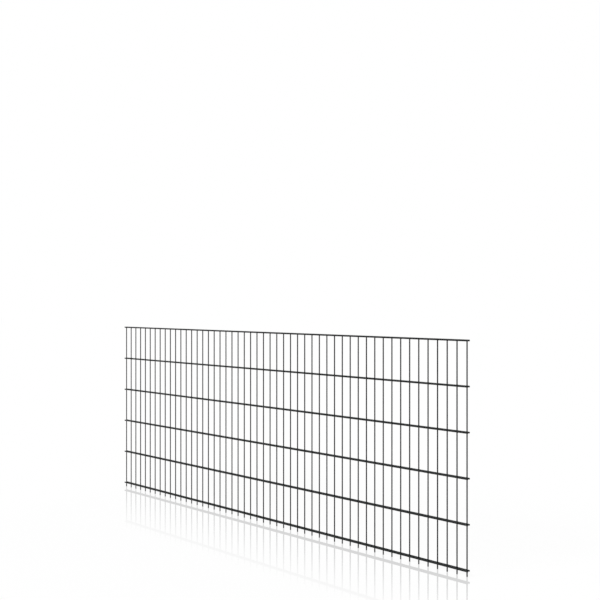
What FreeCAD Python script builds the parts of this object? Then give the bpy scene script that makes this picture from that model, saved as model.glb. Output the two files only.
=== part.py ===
import FreeCAD, Part
import math
import os

# Welded twin-rod mesh fence panel, in millimetres, with +Z up.
# X runs along the panel, the front is -Y, and the ground is at Z = 0.
# The origin is at the foot of the middle upright, on the centre plane of the uprights.
#
# Each row of the mesh is a pair of heavy rods, one in front of the thin uprights and one behind them.
# Every upright is welded to both rods of each row. The weld presses the rod a little way into the
# upright, so each upright has a shallow seat in the shape of the rod at every crossing.
# The uprights end level with the top rods. Below the bottom rods they go on as a row of free feet.

# Driving dimensions
upright_count = 51
upright_pitch = 50.0
upright_diameter = 6.0
row_count = 6
row_pitch = 200.0
rod_diameter = 8.0
# How deep the weld presses a rod into an upright
weld_set_down = 0.1
# Free upright below the underside of the bottom rods
foot_length = 22.0
# Free rod past the outer face of the first and last uprights
rod_stub = 5.0
# Flats round a wire. Their distance across is the wire's diameter, and one of them faces each weld.
wire_flats = 20
# Neighbouring uprights that share a node
uprights_per_node = 3

# Sizes that follow
rod_length = (upright_count - 1) * upright_pitch + upright_diameter + 2 * rod_stub
rod_offset = upright_diameter / 2 + rod_diameter / 2 - weld_set_down
bottom_row_height = foot_length + rod_diameter / 2
upright_length = bottom_row_height + (row_count - 1) * row_pitch + rod_diameter / 2

ALONG = FreeCAD.Vector(1, 0, 0)
ACROSS = FreeCAD.Vector(0, 1, 0)
UP = FreeCAD.Vector(0, 0, 1)


def wire(diameter, length, start, direction, side):
    """A straight wire from start along direction, with flats that face side and the other way."""
    other = direction.cross(side)
    corner_radius = diameter / 2 / math.cos(math.pi / wire_flats)
    corners = []
    for k in range(wire_flats):
        angle = (k + 0.5) * 2 * math.pi / wire_flats
        corners.append(start + (side * math.cos(angle) + other * math.sin(angle)) * corner_radius)
    outline = Part.makePolygon(corners + [corners[0]])
    return Part.Face(outline).extrude(direction * length)


def row_height(row):
    return bottom_row_height + row * row_pitch


def rod(row, y, length):
    """One rod of a row, centred on the panel's length."""
    start = FreeCAD.Vector(-length / 2, y, row_height(row))
    return wire(rod_diameter, length, start, ALONG, ACROSS)


def upright():
    """The middle upright, with a seat for the front and the back rod of every row."""
    plain = wire(upright_diameter, upright_length, FreeCAD.Vector(0, 0, 0), UP, ACROSS)
    seats = []
    for row in range(row_count):
        for y in (-rod_offset, rod_offset):
            seats.append(rod(row, y, 2 * upright_diameter))
    return plain.cut(Part.makeCompound(seats)).Solids[0]


def row_name(row):
    if row == 0:
        return "bottom"
    if row == row_count - 1:
        return "top"
    return f"row_{row + 1}"


def rods():
    """Both rods of every row, as {node: solid}."""
    found = {}
    for row in range(row_count):
        found["front_rod_" + row_name(row)] = rod(row, -rod_offset, rod_length)
        found["back_rod_" + row_name(row)] = rod(row, rod_offset, rod_length)
    return found


def uprights():
    """The uprights from left to right, a few neighbours to a node, as {node: solids}."""
    found = {}
    pattern = upright()
    first_x = -(upright_count - 1) * upright_pitch / 2
    for first in range(0, upright_count, uprights_per_node):
        members = range(first, min(first + uprights_per_node, upright_count))
        solids = [pattern.translated(ALONG * (first_x + k * upright_pitch)) for k in members]
        name = f"uprights_{members[0] + 1:02d}_{members[-1] + 1:02d}"
        found[name] = Part.makeCompound(solids)
    return found


os.makedirs("parts", exist_ok=True)
for node, shape in {**rods(), **uprights()}.items():
    shape.exportStep(f"parts/{node}.step")
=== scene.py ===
# The finished look of a twin-rod welded mesh fence panel: round coated wires, welds and cut ends,
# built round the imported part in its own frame. Lengths are in metres. Front is -Y and back is +Y.
import math
import random

import bmesh
import bpy
import numpy as np
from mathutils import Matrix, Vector


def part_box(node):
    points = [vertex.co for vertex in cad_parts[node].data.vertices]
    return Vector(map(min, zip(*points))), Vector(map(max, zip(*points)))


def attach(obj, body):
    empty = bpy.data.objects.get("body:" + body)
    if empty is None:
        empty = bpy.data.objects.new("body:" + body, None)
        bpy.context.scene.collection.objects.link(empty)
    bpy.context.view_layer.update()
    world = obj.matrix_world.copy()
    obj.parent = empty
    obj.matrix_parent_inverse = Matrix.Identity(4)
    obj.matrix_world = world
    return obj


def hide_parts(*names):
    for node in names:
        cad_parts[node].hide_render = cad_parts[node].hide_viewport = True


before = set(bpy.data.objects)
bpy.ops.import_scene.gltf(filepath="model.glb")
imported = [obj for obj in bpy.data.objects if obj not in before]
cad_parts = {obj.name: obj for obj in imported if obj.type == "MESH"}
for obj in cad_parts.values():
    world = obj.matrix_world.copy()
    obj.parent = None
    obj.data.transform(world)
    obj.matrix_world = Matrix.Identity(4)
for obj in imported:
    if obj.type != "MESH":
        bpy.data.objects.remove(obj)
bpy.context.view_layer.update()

# Camera, solved from the straight lines of the photograph
CAMERA_PLACE = (3.0537, -3.0452, 1.2017)
CAMERA_TURN = math.radians(42.46)
CAMERA_LENS = 47.891
CAMERA_SENSOR = 36.0

# Rows of rods, from the ground up, and the two rods of a row
ROWS = ("bottom", "row_2", "row_3", "row_4", "row_5", "top")
SIDES = {"front": -1, "back": 1}

# Sides of the wires' round sections
ROD_SIDES = 24
UPRIGHT_SIDES = 20

# Cut ends: coated round edge, innermost ring as a share of the face, and least and most slope of the face
EDGE_RADIUS = 0.0006
EDGE_STEPS = 3
FACE_RING = 0.85
CUT_LEAN = (0.01, 0.05)

# Flat that the welding electrode presses into a rod's outer side, opposite each upright
FLAT_DEPTH = 0.00035
FLAT_HALF = 0.0026
FLAT_FADE = 0.0028

# The upright is squeezed between the rods at a weld: thinner across, wider along
SQUEEZE_THINNER = 0.04
SQUEEZE_WIDER = 0.05
SQUEEZE_HALF = 0.0015
SQUEEZE_FADE = 0.0045

# Collar of upset metal round each weld. Its edge lies where rod and upright are the gap apart, which is
# looked for by halving, out to the reach, a share of the upright's radius. The waver is how much the
# gap varies, from weld to weld and round each.
COLLAR_GAP = 0.00085
COLLAR_REACH = 0.95
COLLAR_HALVINGS = 30
COLLAR_SIDES = 16
COLLAR_STEPS = 4
COLLAR_HOLLOW = 0.0006
COLLAR_SINK = 0.0001
COLLAR_WAVER = 0.12
POLE_INSET = 0.00001

# Coating: its tone and gloss vary in soft clouds, under a fine orange peel
COAT_COLOUR = (0.0125, 0.0140, 0.0140)
COAT_SPREAD = 0.16
COAT_SPECULAR = 0.08
COAT_ROUGHNESS = (0.24, 0.38)
CLOUD = {"Scale": 14.0, "Detail": 4.0, "Roughness": 0.6}
CLOUD_RANGE = (0.3, 0.7)
PEEL = {"Scale": 700.0, "Detail": 2.0}
PEEL_HEIGHT = 0.00014

# Floor: white to the camera, with a share that takes shade, and a mirror that fades out from the panel
FLOOR_SIZE = 80.0
FLOOR_ALBEDO = 0.8
FLOOR_SHADE = 0.10
MIRROR_STRENGTH = 0.32
MIRROR_FADE = (0.13, 0.56)
MIRROR_ROUGHNESS = 0.03

# Light: an even surround and three wide far lamps, each with the direction it shines from
AMBIENT = 0.32
LAMPS = {
    "key": {"from": (-0.30, -0.85, 0.75), "strength": 2.3, "width": 22.0},
    "fill": {"from": (0.95, -0.30, 0.40), "strength": 0.5, "width": 40.0},
    "rim": {"from": (-0.10, 0.90, 0.65), "strength": 1.2, "width": 30.0},
}

# Seed of the random draws: how each cut leans and how each collar wavers
SEED = 11

# Places of the colour sockets on a Mix node, which has others of the same names
MIX_SHARE, MIX_FIRST, MIX_SECOND, MIX_RESULT = 0, 6, 7, 2


# Mesh helpers

def plateau(distance, half, fade):
    """1 up to half, then a smooth fall to 0 over fade."""
    t = min(max((distance - half) / fade, 0.0), 1.0)
    return 0.5 + 0.5 * math.cos(math.pi * t)


def plateau_places(middle, half, fade):
    """The places along a wire, in order, at which a plateau round middle needs a ring."""
    steps = (half, half + fade / 2, half + fade)
    return [middle - step for step in reversed(steps)] + [middle + step for step in steps]


def circle(sides):
    angles = (np.arange(sides) + 0.5) * 2 * math.pi / sides
    return np.cos(angles), np.sin(angles)


def bands(ring_count, sides):
    """The quads between each ring of points and the next."""
    faces = []
    for first in range(0, (ring_count - 1) * sides, sides):
        for k in range(sides):
            after = (k + 1) % sides
            faces.append((first + k, first + after, first + sides + after, first + sides + k))
    return faces


def skin(rings):
    """Vertices and faces of a closed skin over rings of points, one after another."""
    sides = len(rings[0])
    last = (len(rings) - 1) * sides
    ends = [tuple(range(sides)), tuple(range(last, last + sides))]
    return np.concatenate(rings), bands(len(rings), sides) + ends


def join(parts):
    """The vertices and faces of several skins as one."""
    faces = []
    first = 0
    for vertices, part_faces in parts:
        faces.extend(tuple(first + k for k in face) for face in part_faces)
        first += len(vertices)
    return np.concatenate([vertices for vertices, part_faces in parts]), faces


def make_piece(name, parts):
    """A smooth piece from skins, with every face turned outwards."""
    vertices, faces = join(parts)
    mesh = bpy.data.meshes.new(name)
    mesh.from_pydata(vertices.tolist(), [], faces)
    model = bmesh.new()
    model.from_mesh(mesh)
    bmesh.ops.recalc_face_normals(model, faces=model.faces)
    model.to_mesh(mesh)
    model.free()
    mesh.shade_smooth()
    piece = bpy.data.objects.new(name, mesh)
    bpy.context.scene.collection.objects.link(piece)
    return piece


# Cut ends

def edge_rings(radius):
    """(distance from the cut, radius) of the rings that round off a cut end, from the cut inwards."""
    rings = [(0.0, FACE_RING * (radius - EDGE_RADIUS))]
    for step in range(EDGE_STEPS + 1):
        angle = math.pi / 2 * (1 - step / EDGE_STEPS)
        rings.append((EDGE_RADIUS * (1 - math.sin(angle)), radius - EDGE_RADIUS * (1 - math.cos(angle))))
    return rings


def wire_rings(low, high, radius, stations):
    """(place along the wire, radius, end) for every ring: end is -1 or 1 on a cut end, otherwise 0."""
    edge = edge_rings(radius)
    rings = [(low + inset, r, -1) for inset, r in edge]
    rings += [(place, radius, 0) for place in stations]
    rings += [(high - inset, r, 1) for inset, r in reversed(edge)]
    return rings


def lean(draw):
    """Slopes of a cut face, drawn for one end of a wire."""
    turn = draw.uniform(0, 2 * math.pi)
    slope = draw.uniform(*CUT_LEAN)
    return slope * math.cos(turn), slope * math.sin(turn)


def leaning(end, radius, across, up, slopes):
    """How far the points of a cut end's ring move along the wire, always inwards."""
    reach = radius * math.hypot(*slopes)
    return -end * (reach + slopes[0] * across + slopes[1] * up)


# Sizes and places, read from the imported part

def centre(node, axis):
    low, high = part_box(node)
    return (low[axis] + high[axis]) / 2


rod_low, rod_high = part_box("front_rod_bottom")
rod_radius = (rod_high.z - rod_low.z) / 2
row_heights = {row: centre("front_rod_" + row, 2) for row in ROWS}
rod_offset = centre("back_rod_bottom", 1)

upright_nodes = sorted(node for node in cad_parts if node.startswith("uprights_"))
upright_low, upright_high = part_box(upright_nodes[0])
upright_radius = (upright_high.y - upright_low.y) / 2


def upright_places(node):
    """X of each upright in a node: first and last are at the ends of its box."""
    numbers = node.split("_")[1:]
    count = int(numbers[1]) - int(numbers[0]) + 1
    low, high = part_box(node)
    return np.linspace(low.x + upright_radius, high.x - upright_radius, count)


crossings = [x for node in upright_nodes for x in upright_places(node)]


# Rods

def rod_skin(side, row, draw):
    """A round rod with a flat on its outer side at every weld."""
    cos, sin = circle(ROD_SIDES)
    stations = [place for x in crossings for place in plateau_places(x, FLAT_HALF, FLAT_FADE)]
    slopes = {end: lean(draw) for end in (-1, 1)}
    rings = []
    for place, radius, end in wire_rings(rod_low.x, rod_high.x, rod_radius, stations):
        nearest = min(abs(place - x) for x in crossings)
        flat = rod_radius - FLAT_DEPTH * plateau(nearest, FLAT_HALF, FLAT_FADE)
        out = np.minimum(radius * cos, flat)
        up = radius * sin
        along = np.full(ROD_SIDES, place)
        if end:
            along += leaning(end, rod_radius, out, up, slopes[end])
        rings.append(np.column_stack([along, side * (rod_offset + out), row_heights[row] + up]))
    return skin(rings)


# Uprights

def upright_skin(x, draw):
    """A round upright, squeezed where it sits between two rods."""
    cos, sin = circle(UPRIGHT_SIDES)
    low, high = upright_low.z, upright_high.z
    heights = list(row_heights.values())
    stations = [place for z in heights for place in plateau_places(z, SQUEEZE_HALF, SQUEEZE_FADE)]
    stations = [place for place in stations if place < high - 2 * EDGE_RADIUS]
    slopes = {end: lean(draw) for end in (-1, 1)}
    rings = []
    for place, radius, end in wire_rings(low, high, upright_radius, stations):
        squeeze = plateau(min(abs(place - z) for z in heights), SQUEEZE_HALF, SQUEEZE_FADE)
        along = radius * cos * (1 + SQUEEZE_WIDER * squeeze)
        across = radius * sin * (1 - SQUEEZE_THINNER * squeeze)
        up = np.full(UPRIGHT_SIDES, place)
        if end:
            up += leaning(end, upright_radius, along, across, slopes[end])
        rings.append(np.column_stack([x + along, across, up]))
    return skin(rings)


# Weld collars

def rod_face(up):
    """How far the rod's inner side is from the uprights' plane, up from the weld's centre."""
    return rod_offset - math.sqrt(rod_radius ** 2 - up ** 2)


def upright_face(along):
    """How far the squeezed upright's side is from the uprights' plane, along from the weld's centre."""
    wide = upright_radius * (1 + SQUEEZE_WIDER)
    thin = upright_radius * (1 - SQUEEZE_THINNER)
    return thin * math.sqrt(1 - (along / wide) ** 2)


def collar_reach(angle, gap):
    """Distance from the weld's centre at which rod and upright are gap apart, by halving."""
    near, far = 0.0, COLLAR_REACH * upright_radius
    for step in range(COLLAR_HALVINGS):
        reach = (near + far) / 2
        if rod_face(reach * math.sin(angle)) - upright_face(reach * math.cos(angle)) < gap:
            near = reach
        else:
            far = reach
    return near


def curve(a, b, c, d):
    """Points along the curve from a to d that b and c pull."""
    points = []
    for step in range(COLLAR_STEPS + 1):
        t = step / COLLAR_STEPS
        points.append(a * (1 - t) ** 3 + 3 * b * t * (1 - t) ** 2 + 3 * c * t ** 2 * (1 - t) + d * t ** 3)
    return points


def collar_profile(angle, reach):
    """(distance from the weld's centre, distance from the uprights' plane) along a hollow fillet."""
    def on_rod(r, sink=0.0):
        return np.array((r, rod_face(r * math.sin(angle)) + sink))

    def on_upright(r, sink=0.0):
        return np.array((r, upright_face(r * math.cos(angle)) - sink))

    inner = reach - COLLAR_HOLLOW
    fillet = curve(on_rod(reach), on_rod(inner), on_upright(inner), on_upright(reach))
    return [on_rod(reach, COLLAR_SINK), *fillet, on_upright(reach, COLLAR_SINK)]


def collar_skin(side, x, z, draw):
    """Upset metal round one weld, from the rod to the upright, closed by a pole inside each wire."""
    phase = draw.uniform(0, 2 * math.pi)
    size = draw.uniform(1 - COLLAR_WAVER, 1 + COLLAR_WAVER)
    profiles = []
    for k in range(COLLAR_SIDES):
        angle = 2 * math.pi * k / COLLAR_SIDES
        gap = COLLAR_GAP * size * (1 + COLLAR_WAVER * math.sin(2 * angle + phase))
        profile = collar_profile(angle, collar_reach(angle, gap))
        profiles.append([(x + r * math.cos(angle), side * y, z + r * math.sin(angle)) for r, y in profile])
    rings = [np.array(ring) for ring in zip(*profiles)]
    rod_pole = len(rings) * COLLAR_SIDES
    upright_pole = rod_pole + 1
    poles = [(x, side * depth, z) for depth in (upright_face(0) - POLE_INSET, rod_face(0) + POLE_INSET)]
    faces = bands(len(rings), COLLAR_SIDES)
    last = rod_pole - COLLAR_SIDES
    for k in range(COLLAR_SIDES):
        after = (k + 1) % COLLAR_SIDES
        faces.append((rod_pole, k, after))
        faces.append((upright_pole, last + k, last + after))
    return np.concatenate(rings + [np.array(poles)]), faces


# Shader helpers

def add_node(tree, kind, inputs=None, **settings):
    """A shader node with its settings, and the values of its inputs by name."""
    node = tree.nodes.new(kind)
    for name, value in settings.items():
        setattr(node, name, value)
    for name, value in (inputs or {}).items():
        node.inputs[name].default_value = value
    return node


def add_shader(tree, kind, **inputs):
    """The output of a shader node that has only values as inputs."""
    return add_node(tree, kind, inputs).outputs[0]


def feed(tree, node, *sources):
    """Links the sources to the node's first inputs, and gives its first output."""
    for source, socket in zip(sources, node.inputs):
        tree.links.new(source, socket)
    return node.outputs[0]


def ramp(tree, source, given, wanted):
    """A value that runs over the wanted range while the source runs over the given one."""
    limits = {"From Min": given[0], "From Max": given[1], "To Min": wanted[0], "To Max": wanted[1]}
    return feed(tree, add_node(tree, "ShaderNodeMapRange", limits), source)


def calculate(tree, operation, *sources):
    return feed(tree, add_node(tree, "ShaderNodeMath", operation=operation), *sources)


def mix_shaders(tree, share, first, second):
    """The first shader where share is 0, and the second where it is 1."""
    return feed(tree, add_node(tree, "ShaderNodeMixShader"), share, first, second)


def grey(level):
    return level, level, level, 1


def new_material(name):
    material = bpy.data.materials.new(name)
    material.use_nodes = True
    return material, material.node_tree


# Materials

def coat_material():
    """Satin powder coat: a little uneven in tone and gloss, with fine orange peel."""
    material, tree = new_material("powder_coat")
    shader = tree.nodes["Principled BSDF"]
    shader.inputs["Specular IOR Level"].default_value = COAT_SPECULAR
    place = add_node(tree, "ShaderNodeTexCoord").outputs["Object"]
    cloud = feed(tree, add_node(tree, "ShaderNodeTexNoise", CLOUD), place)
    tone = add_node(tree, "ShaderNodeMix", data_type="RGBA")
    for socket, share in ((MIX_FIRST, 1 - COAT_SPREAD), (MIX_SECOND, 1 + COAT_SPREAD)):
        tone.inputs[socket].default_value = (*(c * share for c in COAT_COLOUR), 1)
    tree.links.new(cloud, tone.inputs[MIX_SHARE])
    tree.links.new(tone.outputs[MIX_RESULT], shader.inputs["Base Color"])
    gloss = ramp(tree, cloud, CLOUD_RANGE, COAT_ROUGHNESS)
    tree.links.new(gloss, shader.inputs["Roughness"])
    peel = feed(tree, add_node(tree, "ShaderNodeTexNoise", PEEL), place)
    relief = add_node(tree, "ShaderNodeBump", {"Strength": 1.0, "Distance": PEEL_HEIGHT})
    tree.links.new(peel, relief.inputs["Height"])
    tree.links.new(relief.outputs["Normal"], shader.inputs["Normal"])
    return material


def seen_directly(tree, path):
    """1 for rays from the camera, from a mirror or through glass, otherwise 0."""
    either = calculate(tree, "MAXIMUM", path.outputs["Is Camera Ray"], path.outputs["Is Glossy Ray"])
    return calculate(tree, "MAXIMUM", either, path.outputs["Is Transmission Ray"])


def light_on_floor():
    """What a white floor gives back under the surround and the lamps, where 1 is white."""
    level = AMBIENT
    for values in LAMPS.values():
        towards = Vector(values["from"]).normalized()
        level += values["strength"] * towards.z / math.pi
    return level


def mirror_share(tree, path):
    """How much the floor mirrors, to the camera only: it fades with the distance from the panel."""
    place = add_node(tree, "ShaderNodeTexCoord").outputs["Object"]
    split = add_node(tree, "ShaderNodeSeparateXYZ")
    tree.links.new(place, split.inputs["Vector"])
    away = calculate(tree, "ABSOLUTE", split.outputs["Y"])
    fade = ramp(tree, away, MIRROR_FADE, (MIRROR_STRENGTH, 0.0))
    return calculate(tree, "MULTIPLY", fade, path.outputs["Is Camera Ray"])


def white_backdrop(tree):
    """White under this light, with a share in it that takes the panel's shadow."""
    shaded = add_shader(tree, "ShaderNodeBsdfDiffuse", Color=grey(FLOOR_SHADE))
    white = add_shader(tree, "ShaderNodeEmission", Strength=1 - FLOOR_SHADE * light_on_floor())
    return feed(tree, add_node(tree, "ShaderNodeAddShader"), shaded, white)


def floor_material():
    """White where it is seen, apart from the panel's shadow and mirror image, and plain to other light."""
    material, tree = new_material("floor")
    tree.nodes.clear()
    path = add_node(tree, "ShaderNodeLightPath")
    plain = add_shader(tree, "ShaderNodeBsdfDiffuse", Color=grey(FLOOR_ALBEDO))
    mirror = add_shader(tree, "ShaderNodeBsdfGlossy", Color=grey(1), Roughness=MIRROR_ROUGHNESS)
    pale = mix_shaders(tree, seen_directly(tree, path), plain, white_backdrop(tree))
    polished = mix_shaders(tree, mirror_share(tree, path), pale, mirror)
    output = add_node(tree, "ShaderNodeOutputMaterial")
    tree.links.new(polished, output.inputs["Surface"])
    return material


# The panel

def place_piece(piece, *replaced):
    """Coats a piece of the panel and puts it in the frame, for the nodes that it replaces."""
    piece.data.materials.append(coat)
    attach(piece, "root")
    if replaced:
        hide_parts(*replaced)


draw = random.Random(SEED)
coat = coat_material()

for side_name, side in SIDES.items():
    for row in ROWS:
        node = f"{side_name}_rod_{row}"
        place_piece(make_piece(node + "_wire", [rod_skin(side, row, draw)]), node)
        collars = [collar_skin(side, x, row_heights[row], draw) for x in crossings]
        place_piece(make_piece(node + "_welds", collars))

for node in upright_nodes:
    wires = [upright_skin(x, draw) for x in upright_places(node)]
    place_piece(make_piece(node + "_wires", wires), node)


# The stage

def make_floor():
    bpy.ops.mesh.primitive_plane_add(size=FLOOR_SIZE)
    floor = bpy.context.object
    floor.name = "floor"
    floor.data.materials.append(floor_material())


def make_world():
    """A surround that lights evenly, and is white wherever it is seen."""
    world = bpy.data.worlds.new("studio")
    world.use_nodes = True
    bpy.context.scene.world = world
    tree = world.node_tree
    direct = seen_directly(tree, add_node(tree, "ShaderNodeLightPath"))
    sky = tree.nodes["Background"]
    sky.inputs["Color"].default_value = grey(1)
    tree.links.new(ramp(tree, direct, (0.0, 1.0), (AMBIENT, 1.0)), sky.inputs["Strength"])


def make_lamps():
    for name, values in LAMPS.items():
        lamp = bpy.data.lights.new(name, "SUN")
        lamp.energy = values["strength"]
        lamp.angle = math.radians(values["width"])
        holder = bpy.data.objects.new(name, lamp)
        holder.rotation_euler = Vector(values["from"]).to_track_quat("Z", "Y").to_euler()
        bpy.context.scene.collection.objects.link(holder)


def make_camera():
    camera = bpy.data.cameras.new("camera")
    camera.lens = CAMERA_LENS
    camera.sensor_width = CAMERA_SENSOR
    holder = bpy.data.objects.new("camera", camera)
    holder.location = CAMERA_PLACE
    holder.rotation_euler = (math.pi / 2, 0, CAMERA_TURN)
    bpy.context.scene.collection.objects.link(holder)
    bpy.context.scene.camera = holder


make_floor()
make_world()
make_lamps()
make_camera()
bpy.context.scene.view_settings.view_transform = "Standard"
